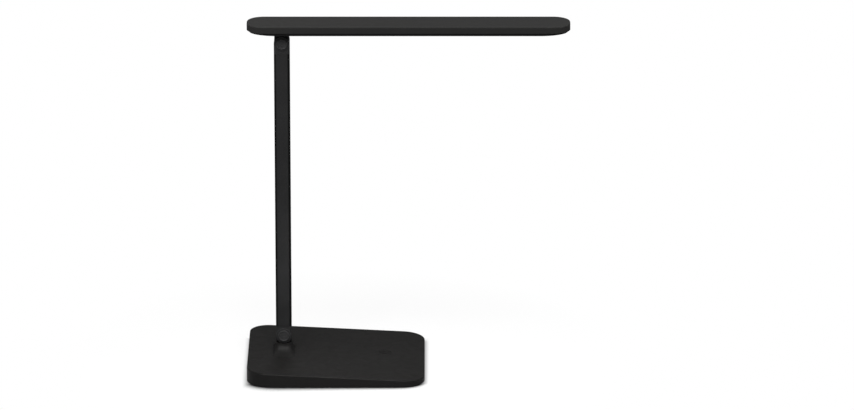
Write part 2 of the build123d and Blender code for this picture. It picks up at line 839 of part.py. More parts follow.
with BuildPart() as head_screws:
    with BuildSketch(Plane.XY.offset(underside + fit_gap)):
        with Locations(*head_screw_places):
            Circle(small_head_radius)
    extrude(amount=small_head)
    with BuildSketch(Plane.XY.offset(underside + fit_gap)):
        with Locations(*head_screw_places):
            Circle(small_radius)
    extrude(amount=head_thick - head_roof - 2 * fit_gap)
head_screws.part.label = "head_screws"
export_step(head_screws.part, "parts/head_screws.step")


# Light: diffuser in the window, reflector tray, board of chips and heat spreader

flange_base = underside + frame_floor
tray_base = flange_base + diffuser_flange
led_base = tray_base + tray_height
stack_length = window_length + 2 * flange_reach
stack_width = window_width + 2 * flange_reach

with BuildPart() as diffuser:
    with BuildSketch(Plane.XY.offset(flange_base - diffuser_thick)):
        with Locations((window_middle, 0)):
            RectangleRounded(window_length - 2 * fit_gap, window_width - 2 * fit_gap, window_corner - fit_gap)
    extrude(amount=diffuser_thick)
    with BuildSketch(Plane.XY.offset(flange_base)):
        with Locations((window_middle, 0)):
            RectangleRounded(stack_length, stack_width, window_corner)
    extrude(amount=diffuser_flange)
diffuser.part.label = "diffuser"
export_step(diffuser.part, "parts/diffuser.step")

with BuildPart() as reflector_tray:
    with BuildSketch(Plane.XY.offset(tray_base)):
        with Locations((window_middle, 0)):
            RectangleRounded(stack_length, stack_width, window_corner)
    extrude(amount=tray_height)
    with BuildSketch(Plane.XY.offset(tray_base)):
        with Locations((window_middle, 0)):
            RectangleRounded(window_length, window_width, window_corner)
    extrude(amount=tray_height - tray_skin, taper=tray_taper, mode=Mode.SUBTRACT)
    with BuildSketch(Plane.XY.offset(tray_base)):
        with Locations((window_middle, 0)):
            with GridLocations(chip_pitch, chip_row_pitch, chip_columns, chip_rows):
                Rectangle(chip_length + 2 * fit_gap, chip_width + 2 * fit_gap)
    extrude(amount=tray_height, mode=Mode.SUBTRACT)
reflector_tray.part.label = "reflector_tray"
export_step(reflector_tray.part, "parts/reflector_tray.step")

with BuildPart() as led_chips:
    with BuildSketch(Plane.XY.offset(led_base)):
        with Locations((window_middle, 0)):
            with GridLocations(chip_pitch, chip_row_pitch, chip_columns, chip_rows):
                Rectangle(chip_length, chip_width)
    extrude(amount=-chip_thick)
led_chips.part.label = "led_chips"
export_step(led_chips.part, "parts/led_chips.step")

with BuildPart() as led_board:
    with BuildSketch(Plane.XY.offset(led_base)):
        with Locations((window_middle, 0)):
            RectangleRounded(stack_length, stack_width, window_corner)
    extrude(amount=board_thick)
led_board.part.label = "led_board"
export_step(led_board.part, "parts/led_board.step")

with BuildPart() as heat_spreader:
    with BuildSketch(Plane.XY.offset(led_base + board_thick)):
        with Locations((window_middle, 0)):
            RectangleRounded(stack_length, stack_width, window_corner)
    extrude(amount=roof_under - led_base - board_thick - fit_gap)
heat_spreader.part.label = "heat_spreader"
export_step(heat_spreader.part, "parts/heat_spreader.step")


# Upper bracket: the tongue in the arm's upper fork, on a plate screwed under the head's roof

with BuildPart() as upper_bracket:
    with BuildSketch(Plane.XZ):
        with Locations((0, pivot_high)):
            Circle(tongue_width / 2)
        with Locations((0, (pivot_high + lug_top) / 2)):
            Rectangle(tongue_width, lug_top - pivot_high)
    extrude(amount=tongue_half, both=True)
    with BuildSketch(Plane.XY.offset(lug_top - lug_thick)):
        RectangleRounded(lug_length, lug_width, ballast_corner)
        with Locations(*lug_screw_places):
            Circle(screw_radius + fit_gap, mode=Mode.SUBTRACT)
    extrude(amount=lug_thick)
    with BuildSketch(Plane.XZ):
        with Locations((0, pivot_high)):
            Circle(pin_radius + running_gap)
    extrude(amount=arm_depth, both=True, mode=Mode.SUBTRACT)
    with BuildSketch(Plane.XY.offset(pivot_high - tongue_width)):
        with Locations((lead_x, tongue_half)):
            Rectangle(2 * (lead_radius + lead_gap), 2 * (tongue_half - lead_y + lead_radius + lead_gap))
    extrude(amount=2 * tongue_width + head_thick, mode=Mode.SUBTRACT)
upper_bracket.part.label = "upper_bracket"
export_step(upper_bracket.part, "parts/upper_bracket.step")

with BuildPart() as lug_screws:
    with BuildSketch(Plane.XY.offset(lug_top - lug_thick)):
        with Locations(*lug_screw_places):
            Circle(screw_head_radius)
    extrude(amount=-screw_head)
    with BuildSketch(Plane.XY.offset(lug_top - lug_thick)):
        with Locations(*lug_screw_places):
            Circle(screw_radius)
    extrude(amount=roof_under - lug_top + lug_thick - fit_gap)
lug_screws.part.label = "lug_screws"
export_step(lug_screws.part, "parts/lug_screws.step")

head_lead_z = roof_under - lead_radius - fit_gap

with BuildPart() as head_lead:
    with BuildLine() as head_path:
        FilletPolyline(
            (lead_x, lead_y, pivot_high - lead_rise),
            (lead_x, lead_y, head_lead_z),
            (window_left - flange_reach - fit_gap, lead_y, head_lead_z),
            radius=lead_bend,
        )
    with BuildSketch(Plane(origin=head_path.line @ 0, z_dir=head_path.line % 0)):
        Circle(lead_radius)
    sweep()
head_lead.part.label = "head_lead"
export_step(head_lead.part, "parts/head_lead.step")
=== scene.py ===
import json
import math

import bmesh
import bpy
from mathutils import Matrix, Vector


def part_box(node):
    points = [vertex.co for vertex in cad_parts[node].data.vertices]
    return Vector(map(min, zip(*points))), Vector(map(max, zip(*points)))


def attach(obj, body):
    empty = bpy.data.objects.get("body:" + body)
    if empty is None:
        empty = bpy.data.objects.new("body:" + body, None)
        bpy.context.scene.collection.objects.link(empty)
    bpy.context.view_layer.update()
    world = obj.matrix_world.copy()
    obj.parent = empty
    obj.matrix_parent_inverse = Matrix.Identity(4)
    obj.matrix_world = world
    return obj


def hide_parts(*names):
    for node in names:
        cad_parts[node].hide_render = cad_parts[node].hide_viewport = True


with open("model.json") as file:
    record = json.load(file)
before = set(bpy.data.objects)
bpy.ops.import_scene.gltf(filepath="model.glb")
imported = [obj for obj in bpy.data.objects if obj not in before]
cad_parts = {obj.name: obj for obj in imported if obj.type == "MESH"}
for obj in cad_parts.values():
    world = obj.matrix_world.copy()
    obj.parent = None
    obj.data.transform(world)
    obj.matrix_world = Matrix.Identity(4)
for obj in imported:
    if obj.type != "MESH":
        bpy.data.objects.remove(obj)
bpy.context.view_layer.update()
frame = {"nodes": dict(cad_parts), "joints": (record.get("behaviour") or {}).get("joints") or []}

nodes = frame["nodes"]
scene = bpy.context.scene
scene.view_settings.view_transform = "Standard"

camera = {
    "place": (0.14635, -5.81306, 2.01308),
    "down": 0.3072,  # radians below the horizon
    "lens": 252.93,
    "sensor": 36,
    "near": 0.1,
    "far": 50,
}


def addCamera(facts):
    data = bpy.data.cameras.new("photoCamera")
    data.lens = facts["lens"]
    data.sensor_width = facts["sensor"]
    data.clip_start = facts["near"]
    data.clip_end = facts["far"]
    cam = bpy.data.objects.new("photoCamera", data)
    cam.location = facts["place"]
    cam.rotation_euler = (math.pi / 2 - facts["down"], 0, 0)
    scene.collection.objects.link(cam)
    scene.camera = cam


addCamera(camera)

# Where each lamp stands and what it looks at, in metres, and its power in watts
lamps = {
    "key": {"at": (-0.15, -1.0, 1.75), "aim": (0.12, 0, 0.15), "size": (1.0, 0.8), "power": 30},
    "nearLeft": {"at": (-0.17, -0.12, 0.54), "aim": (0, 0, 0.37), "size": (0.12, 0.12), "power": 0.34},
    "nearRight": {"at": (0.51, -0.12, 0.54), "aim": (0.34, 0, 0.37), "size": (0.12, 0.12), "power": 0.5},
    "baseFront": {"at": (0.055, -0.105, 0.155), "aim": (0.055, -0.07, 0), "size": (0.12, 0.03),
                  "power": 0.105},
    "behind": {"at": (0.12, 1.0, 1.5), "aim": (0.12, 0, 0.03), "size": (0.3, 0.3), "power": 1.6},
}


def addLamp(name, facts):
    data = bpy.data.lights.new(name, "AREA")
    data.shape = "RECTANGLE"
    data.size, data.size_y = facts["size"]
    data.energy = facts["power"]
    lamp = bpy.data.objects.new(name, data)
    lamp.location = facts["at"]
    away = Vector(facts["at"]) - Vector(facts["aim"])
    lamp.rotation_euler = away.to_track_quat("Z", "Y").to_euler()
    scene.collection.objects.link(lamp)


for lampName, lampFacts in lamps.items():
    addLamp(lampName, lampFacts)


def addNode(tree, kind, **settings):
    node = tree.nodes.new(kind)
    for name, value in settings.items():
        setattr(node, name, value)
    return node


def join(tree, source, target):
    tree.links.new(source, target)


def setInputs(node, values):
    for name, value in values.items():
        node.inputs[name].default_value = value


def compute(tree, kind, a, b=None):
    node = addNode(tree, "ShaderNodeMath", operation=kind)
    for slot, value in ((0, a), (1, b)):
        if value is None:
            continue
        if isinstance(value, (int, float)):
            node.inputs[slot].default_value = value
        else:
            join(tree, value, node.inputs[slot])
    return node.outputs[0]


def times(tree, a, b):
    return compute(tree, "MULTIPLY", a, b)


def plus(tree, a, b):
    return compute(tree, "ADD", a, b)


def split(tree, vector):
    parts = addNode(tree, "ShaderNodeSeparateXYZ")
    join(tree, vector, parts.inputs[0])
    return parts.outputs


def distance(tree, vector):
    length = addNode(tree, "ShaderNodeVectorMath", operation="LENGTH")
    join(tree, vector, length.inputs[0])
    return length.outputs["Value"]


def facing(tree, axis):
    # How far the surface looks along one of the piece's own axes
    where = addNode(tree, "ShaderNodeTexCoord")
    return split(tree, where.outputs["Normal"])[axis]


def coords(tree, centre=(0, 0, 0), stretch=(1, 1, 1)):
    where = addNode(tree, "ShaderNodeTexCoord")
    mapping = addNode(tree, "ShaderNodeMapping")
    setInputs(mapping, {"Location": [-c * s for c, s in zip(centre, stretch)], "Scale": stretch})
    join(tree, where.outputs["Object"], mapping.inputs["Vector"])
    return mapping.outputs["Vector"]


def noise(tree, vector, scale, detail=2, rough=0.5, warp=0):
    pattern = addNode(tree, "ShaderNodeTexNoise")
    setInputs(pattern, {"Scale": scale, "Detail": detail, "Roughness": rough, "Distortion": warp})
    join(tree, vector, pattern.inputs["Vector"])
    return pattern.outputs["Fac"]


def spread(tree, value, low, high, fromLow=0.3, fromHigh=0.7, kind="LINEAR"):
    # Stretches what lies between fromLow and fromHigh over low to high
    remap = addNode(tree, "ShaderNodeMapRange", interpolation_type=kind)
    setInputs(remap, {"From Min": fromLow, "From Max": fromHigh, "To Min": low, "To Max": high})
    join(tree, value, remap.inputs["Value"])
    return remap.outputs["Result"]


def blendColours(tree, amount, first, second):
    mix = addNode(tree, "ShaderNodeMix", data_type="RGBA")
    for slot, value in ((6, first), (7, second)):  # the sockets that this node has for colours
        if isinstance(value, tuple):
            mix.inputs[slot].default_value = (*value, 1)
        else:
            join(tree, value, mix.inputs[slot])
    join(tree, amount, mix.inputs[0])
    return mix.outputs[2]


def tint(colour, factor):
    return tuple(channel * factor for channel in colour)


def startFinish(name):
    finish = bpy.data.materials.new(name)
    finish.use_nodes = True
    return finish, finish.node_tree, finish.node_tree.nodes["Principled BSDF"]


def setSurface(tree, shader, colour, gloss, low, high, specular=0.5):
    # The roughness runs from low to high with the pattern in gloss
    join(tree, colour, shader.inputs["Base Color"])
    join(tree, spread(tree, gloss, low, high), shader.inputs["Roughness"])
    shader.inputs["Specular IOR Level"].default_value = specular


def bump(tree, shader, height, depth):
    node = addNode(tree, "ShaderNodeBump")
    node.inputs["Distance"].default_value = depth
    join(tree, height, node.inputs["Height"])
    join(tree, node.outputs["Normal"], shader.inputs["Normal"])


def corners(nodeName):
    return [Vector(corner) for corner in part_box(nodeName)]


surroundings = {
    "sides": 0.08,             # strength of the sky all round
    "front": 0.25,             # what the front adds to it
    "above": 0.4,              # what the top adds to it
    "floorSize": 12,
    "floorRoughness": 0.9,
    "floorColour": 0.48,       # what the object is lit by from below
    "seenColour": 0.95,        # what the camera sees
    "glow": (0.7, 1),          # share of plain white in it, beside the object and far away
    "glowCentre": (0.06, 0, 0),
    "glowReach": (0.1, 0.3),   # where that share starts to rise and where it is full
    "contact": 0.022,          # reach of the contact shadow
    "contactSamples": 16,
    "darkest": 0.005,
    "openness": (0.52, 0.97),  # how open the floor is where the shadow is full and where it ends
    "fade": 0.006,             # half the width over which it ends at the base's sides and back
}


def paintSky(facts):
    # Light from the front and from above, little from the sides and from behind
    world = bpy.data.worlds.new("studio")
    scene.world = world
    world.use_nodes = True
    tree = world.node_tree
    tree.nodes.clear()
    leave = addNode(tree, "ShaderNodeOutputWorld")
    way = split(tree, addNode(tree, "ShaderNodeTexCoord").outputs["Generated"])
    forward = compute(tree, "MAXIMUM", times(tree, way["Y"], -1), 0)
    front = times(tree, compute(tree, "POWER", forward, 2), facts["front"])
    above = times(tree, compute(tree, "MAXIMUM", way["Z"], 0), facts["above"])
    sky = addNode(tree, "ShaderNodeBackground")
    join(tree, plus(tree, plus(tree, front, above), facts["sides"]), sky.inputs["Strength"])
    join(tree, sky.outputs[0], leave.inputs["Surface"])


def contactShadow(tree, facts):
    # Dark where the base stands close over the floor, but not beside it or behind it
    touch = addNode(tree, "ShaderNodeAmbientOcclusion", samples=facts["contactSamples"])
    touch.inputs["Distance"].default_value = facts["contact"]
    hollow = spread(tree, touch.outputs["AO"], facts["darkest"], 1, *facts["openness"], "SMOOTHSTEP")
    low, high = corners("base_cover")
    half = (high - low) / 2
    fade = facts["fade"]
    away = split(tree, coords(tree, centre=tuple(low + half)))
    sideways = compute(tree, "ABSOLUTE", away["X"])
    beside = spread(tree, sideways, 0, 1, half.x - fade, half.x + fade, "SMOOTHSTEP")
    behind = spread(tree, away["Y"], 0, 1, half.y - 2 * fade, half.y, "SMOOTHSTEP")
    return compute(tree, "MAXIMUM", hollow, compute(tree, "MAXIMUM", beside, behind))


def makeFloor(facts):
    # White to the camera, greyer for the light that it throws on the object
    edge = facts["floorSize"] / 2
    mesh = bpy.data.meshes.new("floor")
    rim = [(-edge, -edge, 0), (edge, -edge, 0), (edge, edge, 0), (-edge, edge, 0)]
    mesh.from_pydata(rim, [], [(0, 1, 2, 3)])
    floor = bpy.data.objects.new("floor", mesh)
    scene.collection.objects.link(floor)
    finish, tree, shader = startFinish("paleFloor")
    setInputs(shader, {"Roughness": facts["floorRoughness"], "Specular IOR Level": 0})
    path = addNode(tree, "ShaderNodeLightPath").outputs
    seen = compute(tree, "MAXIMUM", path["Is Camera Ray"], path["Is Transmission Ray"])
    contact = contactShadow(tree, facts)
    seenLight = times(tree, contact, facts["seenColour"])
    bright = addNode(tree, "ShaderNodeCombineColor")
    for channel in range(3):
        join(tree, seenLight, bright.inputs[channel])
    dull = (facts["floorColour"],) * 3
    join(tree, blendColours(tree, seen, dull, bright.outputs[0]), shader.inputs["Base Color"])
    glow = addNode(tree, "ShaderNodeEmission")
    join(tree, contact, glow.inputs["Strength"])
    away = distance(tree, coords(tree, centre=facts["glowCentre"]))
    plain = spread(tree, away, *facts["glow"], *facts["glowReach"])
    mix = addNode(tree, "ShaderNodeMixShader")
    join(tree, times(tree, seen, plain), mix.inputs["Fac"])
    join(tree, shader.outputs[0], mix.inputs[1])
    join(tree, glow.outputs[0], mix.inputs[2])
    join(tree, mix.outputs[0], tree.nodes["Material Output"].inputs["Surface"])
    mesh.materials.append(finish)


paintSky(surroundings)
makeFloor(surroundings)
print("stage: camera, lamps and floor are up")

# What all moulded pieces share; tones are times the piece's own colour, each noise is detail,
# roughness and warp, and each pair called From is where a pattern starts to show and where it is full
moulding = {
    "cloudTones": (0.95, 1.05),
    "cloudNoise": (3, 0.55, 0.4),
    "smudgeScale": 5,  # times the scale of the clouds
    "smudgeNoise": (4, 0.6, 1.2),
    "grainNoise": (2, 0.6, 0),
    # painted top light: where it starts and where it is full in how far a face looks up, and how much of
    # it the smudges let through
    "topLightFrom": (0.7, 0.99),
    "topLightShare": (0.85, 1),
    "speckTone": 1.3,
    "speckShare": 0.25,
    "speckFrom": (0.45, 0.75),
    "wornTone": 1.6,
    "wornLift": 0.003,
    "wornShare": (0.05, 0.5),
    "edgeFrom": (0.8, 0.99),  # cosine of the turn where the wear is full and where it ends
    "edgeSamples": 4,
}


def edgeWear(tree, radius, ways):
    # How far the surface turns within the radius: 0 on flats, more at edges
    rounded = addNode(tree, "ShaderNodeBevel", samples=ways["edgeSamples"])
    rounded.inputs["Radius"].default_value = radius
    plain = addNode(tree, "ShaderNodeNewGeometry")
    turn = addNode(tree, "ShaderNodeVectorMath", operation="DOT_PRODUCT")
    join(tree, rounded.outputs["Normal"], turn.inputs[0])
    join(tree, plain.outputs["Normal"], turn.inputs[1])
    return spread(tree, turn.outputs["Value"], 1, 0, *ways["edgeFrom"])


def mouldedPlastic(name, facts, ways):
    finish, tree, shader = startFinish(name)
    colour = facts["colour"]
    vector = coords(tree)
    cloud = noise(tree, vector, facts["cloud"], *ways["cloudNoise"])
    smudge = noise(tree, vector, facts["cloud"] * ways["smudgeScale"], *ways["smudgeNoise"])
    grain = noise(tree, vector, facts["grain"], *ways["grainNoise"])
    dark, light = (tint(colour, tone) for tone in ways["cloudTones"])
    base = blendColours(tree, spread(tree, cloud, 0, 1), dark, light)
    if "paintedTopLight" in facts:  # painted top light: the faces that look up are made lighter, as if more light fell on them
        upward = spread(tree, facing(tree, "Z"), 0, 1, *ways["topLightFrom"])
        dustAndTopLight = times(tree, upward, spread(tree, smudge, *ways["topLightShare"]))
        base = blendColours(tree, dustAndTopLight, base, tint(colour, facts["paintedTopLight"]))
    specks = spread(tree, grain, 0, ways["speckShare"], *ways["speckFrom"])
    speckled = blendColours(tree, specks, base, tint(colour, ways["speckTone"]))
    worn = tuple(channel + ways["wornLift"] for channel in tint(colour, ways["wornTone"]))
    wear = times(tree, edgeWear(tree, facts["wear"], ways), spread(tree, smudge, *ways["wornShare"]))
    rough, smear = facts["roughness"], facts["smear"]
    setSurface(tree, shader, blendColours(tree, wear, speckled, worn), smudge,
               rough - smear, rough + smear, facts["specular"])
    bump(tree, shader, grain, facts["depth"])
    return finish


# Cloud and grain are scales of patterns, depth and wear are in metres
plastics = {
    "baseShell": {"colour": (0.012, 0.0116, 0.0113), "roughness": 0.42, "smear": 0.05, "specular": 0.07,
                  "cloud": 14, "grain": 2600, "depth": 0.00002, "wear": 0.0006},
    # the head carries painted top light: its upward faces are painted 1.42 times lighter than its colour
    "headShell": {"colour": (0.0195, 0.0193, 0.0189), "roughness": 0.5, "smear": 0.05, "specular": 0.05,
                  "cloud": 11, "grain": 2600, "depth": 0.00002, "wear": 0.0005, "paintedTopLight": 1.42},
    "headLip": {"colour": (0.019, 0.019, 0.0193), "roughness": 0.55, "smear": 0.05, "specular": 0.05,
                "cloud": 16, "grain": 2900, "depth": 0.00002, "wear": 0.0004},
    "underside": {"colour": (0.014, 0.014, 0.014), "roughness": 0.62, "smear": 0.06, "specular": 0.2,
                  "cloud": 20, "grain": 1900, "depth": 0.00004, "wear": 0.0004},
    "hingeShell": {"colour": (0.0245, 0.0245, 0.025), "roughness": 0.45, "smear": 0.05, "specular": 0.06,
                   "cloud": 40, "grain": 3000, "depth": 0.00001, "wear": 0.0005},
    "keyTop": {"colour": (0.0133, 0.0129, 0.0126), "roughness": 0.45, "smear": 0.05, "specular": 0.03,
               "cloud": 60, "grain": 3200, "depth": 0.00001, "wear": 0.0004},
    "switchBlack": {"colour": (0.02, 0.02, 0.02), "roughness": 0.5, "smear": 0.05, "specular": 0.4,
                    "cloud": 90, "grain": 4000, "depth": 0.00002, "wear": 0.0002},
    "washerNylon": {"colour": (0.66, 0.63, 0.55), "roughness": 0.4, "smear": 0.05, "specular": 0.4,
                    "cloud": 60, "grain": 3000, "depth": 0.00001, "wear": 0.0002},
    "trayWhite": {"colour": (0.8, 0.8, 0.79), "roughness": 0.35, "smear": 0.04, "specular": 0.5,
                  "cloud": 12, "grain": 3000, "depth": 0.00001, "wear": 0.0003},
}
finishes = {name: mouldedPlastic(name, facts, moulding) for name, facts in plastics.items()}

capLook = {"colour": (0.0292, 0.0292, 0.0297), "wornTone": 1.4, "cloud": 260, "cloudNoise": (3, 0.6),
           "roughness": (0.29, 0.42), "specular": 0.08, "rings": 9000, "depth": 0.00001}


def turnedCap(name, facts, pivot):
    # A cap whose face carries fine turned rings round its own axis
    finish, tree, shader = startFinish(name)
    away = distance(tree, coords(tree, centre=(0, 0, pivot), stretch=(1, 0, 1)))
    rings = compute(tree, "SINE", times(tree, away, facts["rings"]))
    cloud = noise(tree, coords(tree), facts["cloud"], *facts["cloudNoise"])
    worn = tint(facts["colour"], facts["wornTone"])
    colour = blendColours(tree, spread(tree, cloud, 0, 1), facts["colour"], worn)
    setSurface(tree, shader, colour, cloud, *facts["roughness"], facts["specular"])
    bump(tree, shader, rings, facts["depth"])
    return finish


lowPivot, highPivot = (joint["pos_m"][2] for joint in frame["joints"][:2])
finishes["lowCap"] = turnedCap("lowCap", capLook, lowPivot)
finishes["highCap"] = turnedCap("highCap", capLook, highPivot)

# What all metals share
drawing = {
    "tones": (0.85, 1.15),
    "lineNoise": (3, 0.6),
    "cloudNoise": (3, 0.55, 0.6),
    "smear": 0.07,
    # where the painted shade on rounded sides starts and where it is full, in how far the face looks
    # along X
    "shadedSideFrom": (0.05, 0.45),
}


def drawnMetal(name, facts, ways):
    # Metal with fine lines along one direction, from drawing, rolling or brushing
    finish, tree, shader = startFinish(name)
    lines = noise(tree, coords(tree, stretch=facts["stretch"]), facts["lines"], *ways["lineNoise"])
    cloud = noise(tree, coords(tree), facts["cloud"], *ways["cloudNoise"])
    dark, light = (tint(facts["colour"], tone) for tone in ways["tones"])
    colour = blendColours(tree, spread(tree, cloud, 0, 1), dark, light)
    if "sides" in facts:  # painted shade: the rounded sides, which turn away from the light, are made darker than the flats
        turned = spread(tree, compute(tree, "ABSOLUTE", facing(tree, "X")), 0, 1, *ways["shadedSideFrom"])
        colour = blendColours(tree, turned, colour, tint(facts["colour"], facts["sides"]))
    gloss = plus(tree, times(tree, lines, 0.5), times(tree, cloud, 0.5))
    rough, smear = facts["roughness"], ways["smear"]
    setSurface(tree, shader, colour, gloss, rough - smear, rough + smear, facts["specular"])
    shader.inputs["Metallic"].default_value = facts["metal"]
    bump(tree, shader, lines, facts["depth"])
    return finish


metals = {
    "armAnodised": {"colour": (0.0228, 0.0228, 0.0232), "roughness": 0.4, "specular": 0.02, "metal": 0,
                    "stretch": (1, 1, 0.02), "lines": 2600, "cloud": 22, "depth": 0.00002,
                    # sides is painted shade: the arm's rounded sides get its colour times this
                    "sides": 0.22},  # the dyed skin shows no bare metal, so metal is 0
    "ballastSteel": {"colour": (0.36, 0.36, 0.36), "roughness": 0.4, "specular": 0.5, "metal": 1,
                     "stretch": (0.03, 1, 1), "lines": 1500, "cloud": 30, "depth": 0.00002},
    "bracketSteel": {"colour": (0.045, 0.045, 0.047), "roughness": 0.42, "specular": 0.5, "metal": 1,
                     "stretch": (1, 1, 0.05), "lines": 1800, "cloud": 60, "depth": 0.00001},
    "screwZinc": {"colour": (0.2, 0.2, 0.205), "roughness": 0.32, "specular": 0.5, "metal": 1,
                  "stretch": (1, 1, 1), "lines": 2400, "cloud": 300, "depth": 0.00001},
    "socketNickel": {"colour": (0.55, 0.54, 0.51), "roughness": 0.25, "specular": 0.5, "metal": 1,
                     "stretch": (1, 0.05, 1), "lines": 3000, "cloud": 120, "depth": 0.00001},
    "contactGilt": {"colour": (0.78, 0.55, 0.2), "roughness": 0.3, "specular": 0.5, "metal": 1,
                    "stretch": (1, 0.1, 1), "lines": 4000, "cloud": 300, "depth": 0.000005},
    "spreaderAluminium": {"colour": (0.72, 0.72, 0.73), "roughness": 0.38, "specular": 0.5, "metal": 1,
                          "stretch": (0.02, 1, 1), "lines": 1800, "cloud": 18, "depth": 0.00001},
}
for metalName, metalFacts in metals.items():
    finishes[metalName] = drawnMetal(metalName, metalFacts, drawing)

rubbers = {
    "matRubber": {"colour": (0.014, 0.014, 0.014), "dust": (0.035, 0.034, 0.033), "roughness": 0.8,
                  "cloud": 25, "grain": 1400, "depth": 0.00008},
    "leadSleeve": {"colour": (0.018, 0.018, 0.018), "dust": (0.03, 0.03, 0.03), "roughness": 0.55,
                   "cloud": 90, "grain": 2600, "depth": 0.00001},
}
# What both rubbers share
dusting = {
    "cloudNoise": (4, 0.6, 0.5),
    "grainNoise": (3, 0.7),
    "dustShare": 0.5,
    "dustFrom": (0.5, 0.8),
    "smear": 0.06,
    "specular": 0.3,
}


def softRubber(name, facts, ways):
    finish, tree, shader = startFinish(name)
    vector = coords(tree)
    cloud = noise(tree, vector, facts["cloud"], *ways["cloudNoise"])
    grain = noise(tree, vector, facts["grain"], *ways["grainNoise"])
    dustAndTopLight = spread(tree, grain, 0, ways["dustShare"], *ways["dustFrom"])
    dusty = blendColours(tree, dustAndTopLight, facts["colour"], facts["dust"])
    colour = blendColours(tree, spread(tree, cloud, 0, ways["dustShare"]), dusty, facts["colour"])
    rough, smear = facts["roughness"], ways["smear"]
    setSurface(tree, shader, colour, cloud, rough - smear, rough + smear, ways["specular"])
    bump(tree, shader, grain, facts["depth"])
    return finish


for rubberName, rubberFacts in rubbers.items():
    finishes[rubberName] = softRubber(rubberName, rubberFacts, dusting)

chipRise = 0.0011   # height of the chips over the control board's face
maskRise = 0.0001   # what stands higher than this over a board's face is a chip
greenBoard = {"colour": (0.008, 0.072, 0.03), "copper": (0.016, 0.125, 0.05),
              "chips": (0.012, 0.012, 0.012)}
boards = {
    "controlBoard": {**greenBoard, "pitch": 0.0011, "patches": 75,
                     "top": corners("control_board")[1].z - chipRise + maskRise},
    "inletBoard": {**greenBoard, "pitch": 0.0009, "patches": 120,
                   "top": corners("socket_board")[1].z + maskRise},
    "ledBoardWhite": {"colour": (0.74, 0.74, 0.72), "copper": (0.66, 0.66, 0.63),
                      "chips": (0.7, 0.7, 0.7), "pitch": 0.004, "patches": 20,
                      "top": corners("led_board")[1].z + maskRise},
}
# What all boards share
etching = {
    "trackFrom": (0.72, 0.82),
    "wayFrom": (0.49, 0.51),    # the patches whose tracks run along X, the others run along Y
    "trackedFrom": (0.44, 0.46),
    "trackedShift": (0.3, 0.1, 0),
    "trackedScale": 1.6,        # times the scale of the patches
    "cloud": 60,
    "cloudNoise": (3, 0.6),
    "cloudTone": 1.15,
    "roughness": (0.28, 0.42),
    "depth": 0.00003,
}


def bands(tree, vector, way, pitch):
    # A wave that rises and falls once in each pitch; at scale 1 the node's own pitch is pi / 10
    wave = addNode(tree, "ShaderNodeTexWave", wave_type="BANDS", bands_direction=way)
    wave.inputs["Scale"].default_value = math.pi / 10 / pitch
    join(tree, vector, wave.inputs["Vector"])
    return wave.outputs["Fac"]


def circuitBoard(name, facts, ways):
    # Solder mask over tracks that run both ways in patches, with black chips above the board's face
    finish, tree, shader = startFinish(name)
    vector = coords(tree)
    along = spread(tree, bands(tree, vector, "X", facts["pitch"]), 0, 1, *ways["trackFrom"])
    across = spread(tree, bands(tree, vector, "Y", facts["pitch"]), 0, 1, *ways["trackFrom"])
    choice = spread(tree, noise(tree, vector, facts["patches"], 0), 0, 1, *ways["wayFrom"])
    shifted = coords(tree, centre=ways["trackedShift"])
    areas = noise(tree, shifted, facts["patches"] * ways["trackedScale"], 1)
    tracked = spread(tree, areas, 0, 1, *ways["trackedFrom"])
    other = compute(tree, "SUBTRACT", 1, choice)
    either = plus(tree, times(tree, along, choice), times(tree, across, other))
    tracks = times(tree, either, tracked)
    cloud = noise(tree, vector, ways["cloud"], *ways["cloudNoise"])
    light = tint(facts["colour"], ways["cloudTone"])
    mask = blendColours(tree, spread(tree, cloud, 0, 1), facts["colour"], light)
    board = blendColours(tree, tracks, mask, facts["copper"])
    raised = compute(tree, "GREATER_THAN", split(tree, vector)["Z"], facts["top"])
    colour = blendColours(tree, raised, board, facts["chips"])
    setSurface(tree, shader, colour, cloud, *ways["roughness"])
    bump(tree, shader, times(tree, tracks, compute(tree, "SUBTRACT", 1, raised)), ways["depth"])
    return finish


for boardName, boardFacts in boards.items():
    finishes[boardName] = circuitBoard(boardName, boardFacts, etching)

opalLook = {"colour": (0.83, 0.83, 0.81), "shade": (0.79, 0.79, 0.76), "flow": 18,
            "flowNoise": (3, 0.5, 0.8), "flowStretch": (0.3, 1, 1), "frost": 1800,
            "frostNoise": (2, 0.6), "roughness": (0.36, 0.48), "specular": 0.45,
            "milky": 0.3, "milkReach": 0.002, "depth": 0.00002}


def opalSheet(name, facts):
    # Opal acrylic with a fine satin face and faint flow marks
    finish, tree, shader = startFinish(name)
    flow = noise(tree, coords(tree, stretch=facts["flowStretch"]), facts["flow"], *facts["flowNoise"])
    frost = noise(tree, coords(tree), facts["frost"], *facts["frostNoise"])
    colour = blendColours(tree, spread(tree, flow, 0, 1), facts["colour"], facts["shade"])
    setSurface(tree, shader, colour, frost, *facts["roughness"], facts["specular"])
    setInputs(shader, {"Subsurface Weight": facts["milky"], "Subsurface Scale": 1,
                       "Subsurface Radius": (facts["milkReach"],) * 3})
    bump(tree, shader, frost, facts["depth"])
    return finish


phosphorLook = {"colour": (0.82, 0.62, 0.12), "light": (0.9, 0.74, 0.22), "grain": 3000,
                "grainNoise": (2, 0.6), "roughness": (0.3, 0.5), "depth": 0.00002}


def chipPhosphor(name, facts):
    # The yellow window of a light chip
    finish, tree, shader = startFinish(name)
    grain = noise(tree, coords(tree), facts["grain"], *facts["grainNoise"])
    colour = blendColours(tree, spread(tree, grain, 0, 1), facts["colour"], facts["light"])
    setSurface(tree, shader, colour, grain, *facts["roughness"])
    bump(tree, shader, grain, facts["depth"])
    return finish


finishes["opalDiffuser"] = opalSheet("opalDiffuser", opalLook)
finishes["chipPhosphor"] = chipPhosphor("chipPhosphor", phosphorLook)

